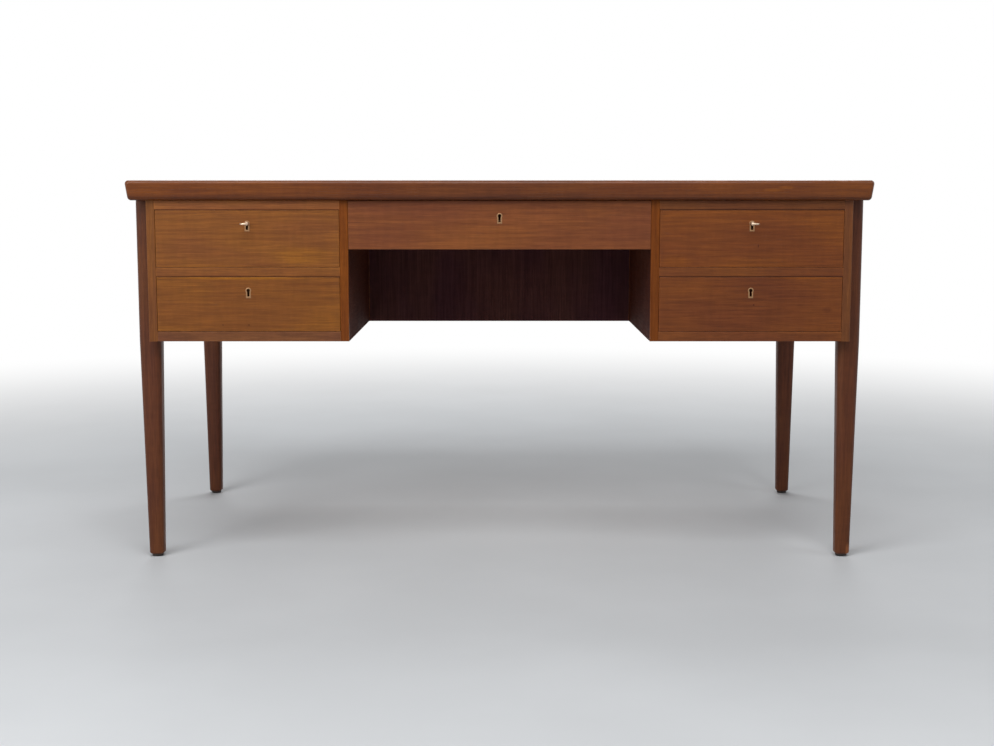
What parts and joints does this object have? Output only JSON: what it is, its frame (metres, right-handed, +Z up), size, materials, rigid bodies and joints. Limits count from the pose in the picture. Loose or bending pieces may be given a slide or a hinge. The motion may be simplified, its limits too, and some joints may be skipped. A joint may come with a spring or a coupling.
{
  "type": "writing desk with drawers",
  "caption": "Free-standing teak writing desk: thick undercut top, drawer pedestals with locks beside a kneehole, open book bays at the back, tapered legs.",
  "frame": {"origin": "on the floor, under the middle of the whole desk's box, keys included", "axes": "+X to the sitter's right, +Y away from the sitter, +Z up"},
  "size_m": [1.404, 0.748, 0.7315],
  "materials": {
    "top_teak": "satin oiled teak",
    "case_teak": "satin oiled teak",
    "front_teak": "satin oiled teak veneer",
    "leg_teak": "satin oiled solid teak",
    "runner_beech": "planed beech",
    "drawer_beech": "waxed beech",
    "drawer_plywood": "sanded plywood",
    "lock_brass": "aged brass",
    "bolt_brass": "brushed brass",
    "key_nickel": "worn nickel plate",
    "screw_steel": "zinc plated",
    "glide": "matte black"
  },
  "bodies": {
    "desk_frame": {"top_panel": "top_teak", "top_lipping_front": "top_teak", "top_lipping_back": "top_teak", "top_lipping_left": "top_teak", "top_lipping_right": "top_teak", "outer_side_left": "case_teak", "inner_side_left": "case_teak", "inner_side_right": "case_teak", "outer_side_right": "case_teak", "pedestal_bottom_left": "case_teak", "pedestal_bottom_right": "case_teak", "book_bay_bottom": "case_teak", "top_rail_left": "case_teak", "top_rail_right": "case_teak", "middle_rail_left": "case_teak", "middle_rail_right": "case_teak", "partition_left": "case_teak", "modesty_panel": "case_teak", "partition_right": "case_teak", "drawer_runners": "runner_beech", "top_blocks": "runner_beech", "top_screws": "screw_steel", "leg_screws": "screw_steel", "leg_front_left": "leg_teak", "leg_front_right": "leg_teak", "leg_rear_left": "leg_teak", "leg_rear_right": "leg_teak", "leg_glides": "glide"},
    "drawer_upper_left": {"front_upper_left": "front_teak", "sides_upper_left": "drawer_beech", "back_upper_left": "drawer_beech", "bottom_upper_left": "drawer_plywood", "lock_upper_left": "lock_brass"},
    "bolt_upper_left": {"bolt_upper_left": "bolt_brass"},
    "drawer_lower_left": {"front_lower_left": "front_teak", "sides_lower_left": "drawer_beech", "back_lower_left": "drawer_beech", "bottom_lower_left": "drawer_plywood", "lock_lower_left": "lock_brass"},
    "bolt_lower_left": {"bolt_lower_left": "bolt_brass"},
    "drawer_centre": {"front_centre": "front_teak", "sides_centre": "drawer_beech", "back_centre": "drawer_beech", "bottom_centre": "drawer_plywood", "lock_centre": "lock_brass"},
    "bolt_centre": {"bolt_centre": "bolt_brass"},
    "drawer_upper_right": {"front_upper_right": "front_teak", "sides_upper_right": "drawer_beech", "back_upper_right": "drawer_beech", "bottom_upper_right": "drawer_plywood", "lock_upper_right": "lock_brass"},
    "bolt_upper_right": {"bolt_upper_right": "bolt_brass"},
    "drawer_lower_right": {"front_lower_right": "front_teak", "sides_lower_right": "drawer_beech", "back_lower_right": "drawer_beech", "bottom_lower_right": "drawer_plywood", "lock_lower_right": "lock_brass"},
    "bolt_lower_right": {"bolt_lower_right": "bolt_brass"},
    "key_upper_left": {"key_upper_left": "key_nickel"},
    "key_upper_right": {"key_upper_right": "key_nickel"}
  },
  "joints": [
    {"name": "drawer_upper_left_slide", "type": "slide", "parent": "desk_frame", "child": "drawer_upper_left", "axis": [0, -1, 0], "range_m": [0, 0.32]},
    {"name": "drawer_lower_left_slide", "type": "slide", "parent": "desk_frame", "child": "drawer_lower_left", "axis": [0, -1, 0], "range_m": [0, 0.32]},
    {"name": "drawer_centre_slide", "type": "slide", "parent": "desk_frame", "child": "drawer_centre", "axis": [0, -1, 0], "range_m": [0, 0.32]},
    {"name": "drawer_upper_right_slide", "type": "slide", "parent": "desk_frame", "child": "drawer_upper_right", "axis": [0, -1, 0], "range_m": [0, 0.32]},
    {"name": "drawer_lower_right_slide", "type": "slide", "parent": "desk_frame", "child": "drawer_lower_right", "axis": [0, -1, 0], "range_m": [0, 0.32]},
    {"name": "key_upper_left_turn", "type": "hinge", "parent": "drawer_upper_left", "child": "key_upper_left", "pos_m": [-0.476, -0.337, 0.6504], "axis": [0, 1, 0], "range_deg": [0, 90]},
    {"name": "bolt_upper_left_lift", "type": "slide", "parent": "drawer_upper_left", "child": "bolt_upper_left", "axis": [0, 0, 1], "range_m": [0, 0.007]},
    {"name": "bolt_lower_left_lift", "type": "slide", "parent": "drawer_lower_left", "child": "bolt_lower_left", "axis": [0, 0, 1], "range_m": [0, 0.007]},
    {"name": "bolt_centre_lift", "type": "slide", "parent": "drawer_centre", "child": "bolt_centre", "axis": [0, 0, 1], "range_m": [0, 0.007]},
    {"name": "key_upper_right_turn", "type": "hinge", "parent": "drawer_upper_right", "child": "key_upper_right", "pos_m": [0.476, -0.337, 0.6504], "axis": [0, 1, 0], "range_deg": [0, 90]},
    {"name": "bolt_upper_right_lift", "type": "slide", "parent": "drawer_upper_right", "child": "bolt_upper_right", "axis": [0, 0, 1], "range_m": [0, 0.007]},
    {"name": "bolt_lower_right_lift", "type": "slide", "parent": "drawer_lower_right", "child": "bolt_lower_right", "axis": [0, 0, 1], "range_m": [0, 0.007]}
  ],
  "couplings": [
    {"joint": "bolt_upper_left_lift", "follows": "key_upper_left_turn", "m_per_rad": 0.0044563},
    {"joint": "bolt_upper_right_lift", "follows": "key_upper_right_turn", "m_per_rad": 0.0044563}
  ]
}
